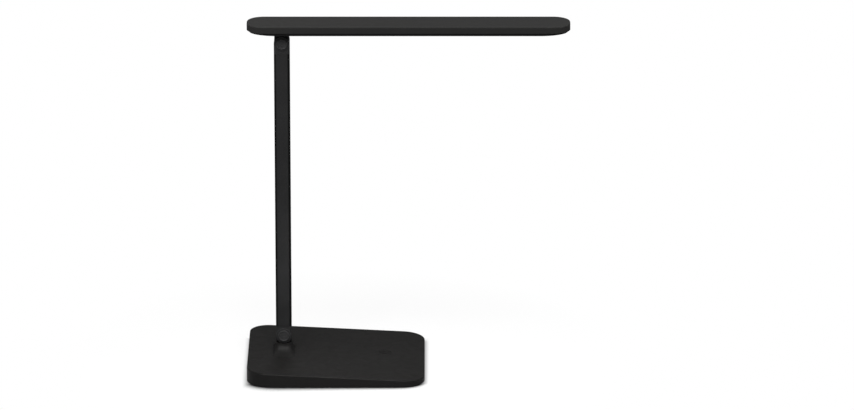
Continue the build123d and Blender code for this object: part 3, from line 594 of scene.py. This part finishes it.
# The nodes that wear each finish
wears = {
    "baseShell": ["base_cover"],
    "headShell": ["head_cover"],
    "headLip": ["head_frame"],
    "underside": ["base_plate"],
    "hingeShell": ["lower_fork", "upper_fork"],
    "keyTop": ["power_key"],
    "switchBlack": ["key_switch", "switch_plunger"],
    "washerNylon": ["lower_washers", "upper_washers"],
    "trayWhite": ["reflector_tray"],
    "lowCap": ["lower_front_cap", "lower_back_cap"],
    "highCap": ["upper_front_cap", "upper_back_cap"],
    "armAnodised": ["arm_tube"],
    "ballastSteel": ["ballast_plate"],
    "bracketSteel": ["lower_bracket", "upper_bracket"],
    "screwZinc": ["base_screws", "bracket_screws", "board_screws", "head_screws", "lug_screws",
                  "lower_pin", "upper_pin", "lower_nut", "upper_nut"],
    "socketNickel": ["power_socket"],
    "spreaderAluminium": ["heat_spreader"],
    "matRubber": ["rubber_mat"],
    "leadSleeve": ["power_lead", "base_lead", "arm_lead", "head_lead"],
    "controlBoard": ["control_board"],
    "inletBoard": ["socket_board"],
    "ledBoardWhite": ["led_board"],
    "opalDiffuser": ["diffuser"],
    "chipPhosphor": ["led_chips"],
}
for finishName, nodeNames in wears.items():
    for nodeName in nodeNames:
        slots = nodes[nodeName].data.materials
        slots.clear()
        slots.append(finishes[finishName])
print("stage: finishes are on the solids")

creaseAngle = math.radians(35)  # edges that turn more than this stay sharp
weldReach = 1e-7                # the solids' loose triangles are counted as joined within this
# How many sides the round shapes have
roundness = {"head": 32, "core": 24, "turn": 16, "ridge": 4, "window": 20, "windowRings": 8, "pad": 6,
             "matCorner": 10}


def smoothMesh(mesh):
    mesh.shade_smooth()
    mesh.set_sharp_from_angle(angle=creaseAngle)


def solidBoxes(nodeName):
    # Lowest and highest corner of each separate solid in a node
    shape = bmesh.new()
    shape.from_mesh(nodes[nodeName].data)
    bmesh.ops.remove_doubles(shape, verts=shape.verts, dist=weldReach)
    waiting = set(shape.verts)
    boxes = []
    while waiting:
        reached = [waiting.pop()]
        group = []
        while reached:
            vert = reached.pop()
            group.append(vert.co.copy())
            for edge in vert.link_edges:
                near = edge.other_vert(vert)
                if near in waiting:
                    waiting.remove(near)
                    reached.append(near)
        low = Vector([min(place[axis] for place in group) for axis in range(3)])
        high = Vector([max(place[axis] for place in group) for axis in range(3)])
        boxes.append((low, high))
    shape.free()
    return sorted(boxes, key=lambda box: tuple(round(value, 5) for value in box[0]))


def startTree(name, inputs):
    # A Geometry Nodes tree with named inputs, and its two end nodes
    tree = bpy.data.node_groups.new(name, "GeometryNodeTree")
    tree.is_modifier = True
    tree.interface.new_socket("Geometry", in_out="INPUT", socket_type="NodeSocketGeometry")
    for label, value in inputs.items():
        kind = "NodeSocketInt" if isinstance(value, int) else "NodeSocketFloat"
        socket = tree.interface.new_socket(label, in_out="INPUT", socket_type=kind)
        socket.default_value = value
    tree.interface.new_socket("Geometry", in_out="OUTPUT", socket_type="NodeSocketGeometry")
    return tree, addNode(tree, "NodeGroupInput").outputs, addNode(tree, "NodeGroupOutput")


def finishTree(tree, shape, leave, finish):
    # Every tree ends the same way: instances become real and get their material
    realize = addNode(tree, "GeometryNodeRealizeInstances")
    dress = addNode(tree, "GeometryNodeSetMaterial")
    dress.inputs["Material"].default_value = finish
    join(tree, shape, realize.inputs[0])
    join(tree, realize.outputs[0], dress.inputs["Geometry"])
    join(tree, dress.outputs[0], leave.inputs[0])
    return tree


def place(tree, shape, at=None, turn=None, grow=None):
    move = addNode(tree, "GeometryNodeTransform")
    join(tree, shape, move.inputs["Geometry"])
    for socket, value in (("Translation", at), ("Rotation", turn), ("Scale", grow)):
        if value is not None:
            join(tree, value, move.inputs[socket])
    return move.outputs[0]


def triple(tree, x=0, y=0, z=0):
    # A vector whose parts are numbers or sockets
    node = addNode(tree, "ShaderNodeCombineXYZ")
    for slot, value in enumerate((x, y, z)):
        if isinstance(value, (int, float)):
            node.inputs[slot].default_value = value
        else:
            join(tree, value, node.inputs[slot])
    return node.outputs[0]


def block(tree, x, y, z):
    cube = addNode(tree, "GeometryNodeMeshCube")
    join(tree, triple(tree, x, y, z), cube.inputs["Size"])
    return cube.outputs["Mesh"]


def cutAway(tree, body, *tools):
    cut = addNode(tree, "GeometryNodeMeshBoolean", operation="DIFFERENCE", solver="EXACT")
    join(tree, body, cut.inputs["Mesh 1"])
    for tool in tools:
        join(tree, tool, cut.inputs["Mesh 2"])
    return cut.outputs["Mesh"]


def together(tree, *shapes):
    gather = addNode(tree, "GeometryNodeJoinGeometry")
    for shape in shapes:
        join(tree, shape, gather.inputs[0])
    return gather.outputs[0]


def onPoints(tree, points, shape, turn=None, chosen=None):
    # One copy at each chosen point, turned about Z
    copy = addNode(tree, "GeometryNodeInstanceOnPoints")
    join(tree, points, copy.inputs["Points"])
    join(tree, shape, copy.inputs["Instance"])
    if turn is not None:
        join(tree, triple(tree, z=turn), copy.inputs["Rotation"])
    if chosen is not None:
        join(tree, chosen, copy.inputs["Selection"])
    return copy.outputs[0]


def randomTurn(tree, seed):
    spin = addNode(tree, "FunctionNodeRandomValue", data_type="FLOAT")
    spin.inputs[3].default_value = 2 * math.pi  # the highest number that it draws
    join(tree, seed, spin.inputs["Seed"])
    return spin.outputs[1]


def randomPick(tree, seed, share):
    pick = addNode(tree, "FunctionNodeRandomValue", data_type="BOOLEAN")
    join(tree, share, pick.inputs["Probability"])
    join(tree, seed, pick.inputs["Seed"])
    return pick.outputs[3]


def growPiece(name, places, tree, values, body, slotName, *replaced, turns=None):
    # Runs a tree on loose points and keeps the result as a plain mesh
    mesh = bpy.data.meshes.new(name)
    mesh.from_pydata([tuple(spot) for spot in places], [], [])
    if turns:
        mesh.attributes.new("turn", "FLOAT", "POINT").data.foreach_set("value", turns)
    piece = bpy.data.objects.new(name, mesh)
    scene.collection.objects.link(piece)
    grower = piece.modifiers.new(name, "NODES")
    grower.node_group = tree
    for socket in tree.interface.items_tree:
        if socket.in_out == "INPUT" and socket.name in values:
            grower[socket.identifier] = values[socket.name]
    ready = piece.evaluated_get(bpy.context.evaluated_depsgraph_get())
    plain = bpy.data.meshes.new_from_object(ready)
    piece.modifiers.clear()
    piece.data = plain
    plain.name = name
    if turns:
        plain.attributes.remove(plain.attributes["turn"])
    smoothMesh(plain)
    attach(piece, body)
    if replaced:
        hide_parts(*replaced)


def screwTree(finish):
    # A head with a cross recess, a core and a wound thread; its top is at the origin
    sizes = {"Crown Radius": 0.001, "Foot Radius": 0.001, "Head Height": 0.001, "Core Radius": 0.001,
             "Shank Length": 0.005, "Cross Length": 0.002, "Cross Width": 0.0004, "Cross Depth": 0.0005,
             "Thread": 0.0002, "Turns": 6.0, "Flip": 0.0, "Seed": 3}
    tree, size, leave = startTree("screw", sizes)
    head = addNode(tree, "GeometryNodeMeshCone")
    head.inputs["Vertices"].default_value = roundness["head"]
    join(tree, size["Crown Radius"], head.inputs["Radius Top"])
    join(tree, size["Foot Radius"], head.inputs["Radius Bottom"])
    join(tree, size["Head Height"], head.inputs["Depth"])
    lowered = place(tree, head.outputs["Mesh"], triple(tree, z=times(tree, size["Head Height"], -1)))
    deep = times(tree, size["Cross Depth"], 2)
    crossed = cutAway(tree, lowered,
                      block(tree, size["Cross Length"], size["Cross Width"], deep),
                      block(tree, size["Cross Width"], size["Cross Length"], deep))
    core = addNode(tree, "GeometryNodeMeshCylinder")
    core.inputs["Vertices"].default_value = roundness["core"]
    join(tree, size["Core Radius"], core.inputs["Radius"])
    join(tree, size["Shank Length"], core.inputs["Depth"])
    total = plus(tree, size["Head Height"], size["Shank Length"])
    middle = plus(tree, size["Head Height"], times(tree, size["Shank Length"], 0.5))
    shank = place(tree, core.outputs["Mesh"], triple(tree, z=times(tree, middle, -1)))
    helix = addNode(tree, "GeometryNodeCurveSpiral")
    helix.inputs["Resolution"].default_value = roundness["turn"]
    join(tree, size["Turns"], helix.inputs["Rotations"])
    join(tree, size["Core Radius"], helix.inputs["Start Radius"])
    join(tree, size["Core Radius"], helix.inputs["End Radius"])
    join(tree, size["Shank Length"], helix.inputs["Height"])
    ridge = addNode(tree, "GeometryNodeCurvePrimitiveCircle")
    ridge.inputs["Resolution"].default_value = roundness["ridge"]
    join(tree, size["Thread"], ridge.inputs["Radius"])
    wound = addNode(tree, "GeometryNodeCurveToMesh")
    wound.inputs["Fill Caps"].default_value = True
    join(tree, helix.outputs["Curve"], wound.inputs["Curve"])
    join(tree, ridge.outputs["Curve"], wound.inputs["Profile Curve"])
    thread = place(tree, wound.outputs["Mesh"], triple(tree, z=times(tree, total, -1)))
    whole = place(tree, together(tree, crossed, shank, thread), turn=triple(tree, x=size["Flip"]))
    copies = onPoints(tree, size["Geometry"], whole, turn=randomTurn(tree, size["Seed"]))
    return finishTree(tree, copies, leave, finish)


# Head height and shank radius in metres; way is 1 where the head is on top; crown and foot are
# the radius of the head's outer and inner end, times the widest
screwSets = {
    "head_screws": {"body": "head", "way": -1, "head": 0.0007, "crown": 0.86, "foot": 1,
                    "shank": 0.0009, "seed": 5},
    "base_screws": {"body": "base", "way": -1, "head": 0.0012, "crown": 0.86, "foot": 1,
                    "shank": 0.00125, "seed": 8},
    "board_screws": {"body": "base", "way": 1, "head": 0.0007, "crown": 0.86, "foot": 1,
                     "shank": 0.0009, "seed": 2},
    "bracket_screws": {"body": "base", "way": 1, "head": 0.00095, "crown": 1, "foot": 0.57,
                       "shank": 0.00125, "seed": 4},
    "lug_screws": {"body": "head", "way": -1, "head": 0.0012, "crown": 0.86, "foot": 1,
                   "shank": 0.00125, "seed": 6},
}
# The thread is times the shank's radius and the lead times the thread; the cross is times the head's
# radius, and its depth times the head's height
screwCut = {"thread": 0.16, "lead": 3.2, "crossLength": 1.1, "crossWidth": 0.26, "crossDepth": 0.6}


def makeScrews(nodeName, facts, cut, tree):
    boxes = solidBoxes(nodeName)
    low, high = boxes[0]
    radius = (high.x - low.x) / 2
    length = high.z - low.z - facts["head"]
    thread = facts["shank"] * cut["thread"]
    upright = facts["way"] > 0
    end = 1 if upright else 0  # the corner whose height is the head's outer end
    places = [((box[0].x + box[1].x) / 2, (box[0].y + box[1].y) / 2, box[end].z) for box in boxes]
    values = {"Crown Radius": radius * facts["crown"], "Foot Radius": radius * facts["foot"],
              "Head Height": facts["head"], "Core Radius": facts["shank"] - thread,
              "Shank Length": length, "Cross Length": radius * cut["crossLength"],
              "Cross Width": radius * cut["crossWidth"],
              "Cross Depth": facts["head"] * cut["crossDepth"],
              "Thread": thread, "Turns": length / (thread * cut["lead"]),
              "Flip": 0.0 if upright else math.pi, "Seed": facts["seed"]}
    growPiece("crossed_" + nodeName, places, tree, values, facts["body"], "screw_steel", nodeName)


screwShape = screwTree(finishes["screwZinc"])
for screwNode, screwFacts in screwSets.items():
    makeScrews(screwNode, screwFacts, screwCut, screwShape)
print("stage: screws have heads with recesses and wound threads")


def insideRim(tree, size):
    # Length and width of the opening in a light chip's frame
    rims = times(tree, size["Rim"], 2)
    return [compute(tree, "SUBTRACT", size[side], rims) for side in ("Length", "Width")]


def chipFrameTree(finish, sizes):
    # The white frame of a light chip, open to its front
    tree, size, leave = startTree("chipFrames", sizes)
    inLength, inWidth = insideRim(tree, size)
    body = block(tree, size["Length"], size["Width"], size["Height"])
    pocket = block(tree, inLength, inWidth, times(tree, size["Height"], size["Pocket"]))
    lowered = place(tree, pocket, triple(tree, z=times(tree, size["Height"], -0.5)))
    copies = onPoints(tree, size["Geometry"], cutAway(tree, body, lowered))
    return finishTree(tree, copies, leave, finish)


def chipWindowTree(finish, sizes):
    # The soft yellow dome inside the frame
    tree, size, leave = startTree("chipWindows", sizes)
    inLength, inWidth = insideRim(tree, size)
    ball = addNode(tree, "GeometryNodeMeshUVSphere")
    setInputs(ball, {"Segments": roundness["window"], "Rings": roundness["windowRings"], "Radius": 0.5})
    tall = times(tree, size["Height"], size["Dome"])
    dome = place(tree, ball.outputs["Mesh"], grow=triple(tree, inLength, inWidth, tall))
    raised = place(tree, dome, triple(tree, z=size["Recess"]))
    return finishTree(tree, onPoints(tree, size["Geometry"], raised), leave, finish)


# Rim and recess in metres; pocket and dome are times the chip's height
chips = {"Rim": 0.00045, "Recess": 0.00012, "Pocket": 1.2, "Dome": 0.9}


def makeChips(facts):
    boxes = solidBoxes("led_chips")
    low, high = boxes[0]
    sizes = {"Length": high.x - low.x, "Width": high.y - low.y, "Height": high.z - low.z, **facts}
    places = [(box[0] + box[1]) / 2 for box in boxes]
    frames = chipFrameTree(finishes["trayWhite"], sizes)
    windows = chipWindowTree(finishes["chipPhosphor"], sizes)
    growPiece("chip_frames", places, frames, sizes, "head", "reflector_white", "led_chips")
    growPiece("chip_windows", places, windows, sizes, "head", "chip_phosphor")


makeChips(chips)


def blockTree(name, finish, sizes):
    tree, size, leave = startTree(name, sizes)
    strip = block(tree, size["Width"], size["Length"], size["Thickness"])
    return finishTree(tree, onPoints(tree, size["Geometry"], strip), leave, finish)


contacts = {"count": 12, "pitch": 0.0005, "blade": 0.0007, "setBack": 0.0017,
            "strip": {"Width": 0.00026, "Length": 0.0042, "Thickness": 0.00006}}


def makeContacts(facts):
    # Gilt strips on both faces of the blade in the power inlet
    low, high = corners("power_socket")
    middle = (low + high) / 2
    strip = facts["strip"]
    back = high.y - facts["setBack"] - strip["Length"] / 2
    places = [
        (middle.x + (step - (facts["count"] - 1) / 2) * facts["pitch"], back,
         middle.z + side * facts["blade"] / 2)
        for step in range(facts["count"])
        for side in (-1, 1)
    ]
    tree = blockTree("contactStrip", finishes["contactGilt"], strip)
    growPiece("socket_contacts", places, tree, strip, "base", "socket_metal")


makeContacts(contacts)
print("stage: light chips and socket contacts are in")

# Each field is a corner from the board's low corner, columns and rows; the rest is in metres
boardParts = {
    "fields": [((0.043, 0.005), 5, 4), ((0.024, 0.030), 4, 4)],
    "pitch": (0.0027, 0.0024),
    "part": {"Length": 0.0016, "Width": 0.0008, "Height": 0.00045, "End": 0.0003, "End Width": 1.06,
             "End Height": 1.08, "Share": 0.75, "Seed": 11},
}


def passiveTree(finish, part, sizes):
    # A small resistor lying on the board; part picks its dark body or its tinned ends
    tree, size, leave = startTree("passive" + part, sizes)
    lift = times(tree, size["Height"], 0.5)
    if part == "Bodies":
        body = block(tree, size["Length"], size["Width"], size["Height"])
        shape = place(tree, body, triple(tree, z=lift))
    else:
        out = times(tree, size["Length"], 0.5)
        wide = times(tree, size["Width"], size["End Width"])
        tall = times(tree, size["Height"], size["End Height"])
        shape = together(tree, *[
            place(tree, block(tree, size["End"], wide, tall),
                  triple(tree, times(tree, out, side), 0, lift))
            for side in (-1, 1)
        ])
    chosen = randomPick(tree, size["Seed"], size["Share"])
    return finishTree(tree, onPoints(tree, size["Geometry"], shape, chosen=chosen), leave, finish)


def makeBoardParts(facts):
    low, high = corners("control_board")
    top = high.z - chipRise
    pitchX, pitchY = facts["pitch"]
    places = [
        (low.x + corner[0] + column * pitchX, low.y + corner[1] + row * pitchY, top)
        for corner, columns, rows in facts["fields"]
        for column in range(columns)
        for row in range(rows)
    ]
    bodies = passiveTree(finishes["switchBlack"], "Bodies", facts["part"])
    ends = passiveTree(finishes["socketNickel"], "Ends", facts["part"])
    growPiece("resistor_bodies", places, bodies, facts["part"], "base", "circuit_board")
    growPiece("resistor_ends", places, ends, facts["part"], "base", "circuit_board")


makeBoardParts(boardParts)
print("stage: small parts are on the board")

leg = {"Width": 0.0003, "Thickness": 0.00014, "Rise": 0.0006, "Out": 0.0004, "Foot": 0.0005}

# Each chip's middle from the board's low corner, its size, and the legs on its x and y sides
legged = {
    "driver": {"middle": (0.018, 0.011), "size": (0.0063, 0.0063), "sides": (8, 8), "pitch": 0.00065},
    "regulator": {"middle": (0.018, 0.033), "size": (0.0088, 0.0055), "sides": (0, 6), "pitch": 0.00127},
    "switch": {"middle": (0.036, 0.022), "size": (0.0046, 0.0046), "sides": (2, 0), "pitch": 0.003},
}


def legTree(finish, sizes):
    # A bent leg: out of the chip's side, down, and out along the board
    tree, size, leave = startTree("chipLeg", sizes)
    shoulder = place(tree, block(tree, times(tree, size["Out"], 2), size["Width"], size["Thickness"]),
                     triple(tree, z=size["Rise"]))
    shin = place(tree, block(tree, size["Thickness"], size["Width"], size["Rise"]),
                 triple(tree, size["Out"], 0, times(tree, size["Rise"], 0.5)))
    toe = plus(tree, size["Out"], times(tree, size["Foot"], 0.5))
    foot = place(tree, block(tree, size["Foot"], size["Width"], size["Thickness"]),
                 triple(tree, toe, 0, times(tree, size["Thickness"], 0.5)))
    turn = addNode(tree, "GeometryNodeInputNamedAttribute", data_type="FLOAT")
    turn.inputs["Name"].default_value = "turn"  # each point says how its leg is turned
    bent = together(tree, shoulder, shin, foot)
    copies = onPoints(tree, size["Geometry"], bent, turn=turn.outputs["Attribute"])
    return finishTree(tree, copies, leave, finish)


def makeLegs(kinds, sizes):
    low, high = corners("control_board")
    top = high.z - chipRise
    places, turns = [], []
    for facts in kinds.values():
        for axis in range(2):
            count = facts["sides"][axis]
            for side in (-1, 1):
                for step in range(count):
                    along = (step - (count - 1) / 2) * facts["pitch"]
                    out = side * facts["size"][axis] / 2
                    shift = (out, along) if axis == 0 else (along, out)
                    places.append((low.x + facts["middle"][0] + shift[0],
                                   low.y + facts["middle"][1] + shift[1], top))
                    turns.append(axis * math.pi / 2 + (math.pi if side < 0 else 0))
    tree = legTree(finishes["socketNickel"], sizes)
    growPiece("chip_legs", places, tree, sizes, "base", "socket_metal", turns=turns)


makeLegs(legged, leg)
print("stage: chips stand on legs")

# In metres, but for foot, which is the pad's radius at the table times its widest
tread = {"corner": 0.015, "rim": 0.0025, "groove": 0.0005, "pitch": 0.0046, "pad": 0.0019, "foot": 0.85,
         "sink": 0.00005}


def roundedOutline(low, high, inset, corner):
    # Points round a rectangle with round corners, anticlockwise seen from above
    radius = corner - inset
    steps = roundness["matCorner"]
    points = []
    for turn, (x, y) in enumerate(((high.x, high.y), (low.x, high.y), (low.x, low.y), (high.x, low.y))):
        middleX = x + (-corner if x == high.x else corner)
        middleY = y + (-corner if y == high.y else corner)
        for step in range(steps + 1):
            angle = (turn + step / steps) * math.pi / 2
            points.append((middleX + radius * math.cos(angle), middleY + radius * math.sin(angle)))
    return points


def insideOutline(point, low, high, inset, corner):
    middle = (low + high) / 2
    overX = max(abs(point[0] - middle.x) - ((high.x - low.x) / 2 - corner), 0)
    overY = max(abs(point[1] - middle.y) - ((high.y - low.y) / 2 - corner), 0)
    return math.hypot(overX, overY) <= corner - inset


def makeMatSheet(facts, low, high):
    # A sheet whose underside is hollowed inside a rim; the pads stand in the hollow
    outer = roundedOutline(low, high, 0, facts["corner"])
    inner = roundedOutline(low, high, facts["rim"], facts["corner"])
    count = len(outer)
    rings = [(outer, high.z), (outer, low.z), (inner, low.z), (inner, low.z + facts["groove"])]
    verts = [(x, y, z) for ring, z in rings for x, y in ring]
    faces = [tuple(range(count)), tuple(reversed(range(3 * count, 4 * count)))]
    for ring in range(3):
        for step in range(count):
            after = (step + 1) % count
            faces.append((ring * count + step, (ring + 1) * count + step,
                          (ring + 1) * count + after, ring * count + after))
    mesh = bpy.data.meshes.new("mat_sheet")
    mesh.from_pydata(verts, [], faces)
    mesh.materials.append(finishes["matRubber"])
    smoothMesh(mesh)
    sheet = bpy.data.objects.new("mat_sheet", mesh)
    scene.collection.objects.link(sheet)
    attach(sheet, "base")
    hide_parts("rubber_mat")


def padTree(finish, sizes):
    # A six-sided pad that rises from its point and is narrower at the table
    tree, size, leave = startTree("matPad", sizes)
    pad = addNode(tree, "GeometryNodeMeshCone")
    pad.inputs["Vertices"].default_value = roundness["pad"]
    join(tree, size["Radius"], pad.inputs["Radius Top"])
    join(tree, times(tree, size["Radius"], size["Foot"]), pad.inputs["Radius Bottom"])
    join(tree, size["Height"], pad.inputs["Depth"])
    return finishTree(tree, onPoints(tree, size["Geometry"], pad.outputs["Mesh"]), leave, finish)


def makeMat(facts):
    low, high = corners("rubber_mat")
    makeMatSheet(facts, low, high)
    inset = facts["rim"] + facts["pad"] + facts["groove"]
    pitch = facts["pitch"]
    rise = pitch * math.sin(math.pi / 3)
    middle = (low + high) / 2
    rowsOut = int((high.y - low.y) / rise / 2)
    columnsOut = int((high.x - low.x) / pitch / 2)
    places = []
    for row in range(-rowsOut, rowsOut + 1):
        shift = pitch / 2 if row % 2 else 0
        for column in range(-columnsOut - 1, columnsOut + 1):
            spot = (middle.x + shift + column * pitch, middle.y + row * rise, low.z)
            if insideOutline(spot, low, high, inset, facts["corner"]):
                places.append(spot)
    sizes = {"Radius": facts["pad"], "Foot": facts["foot"], "Height": facts["groove"] + facts["sink"]}
    growPiece("mat_pads", places, padTree(finishes["matRubber"], sizes), sizes, "base", "mat_rubber")
    return len(places)


print("stage: the mat stands on", makeMat(tread), "pads")
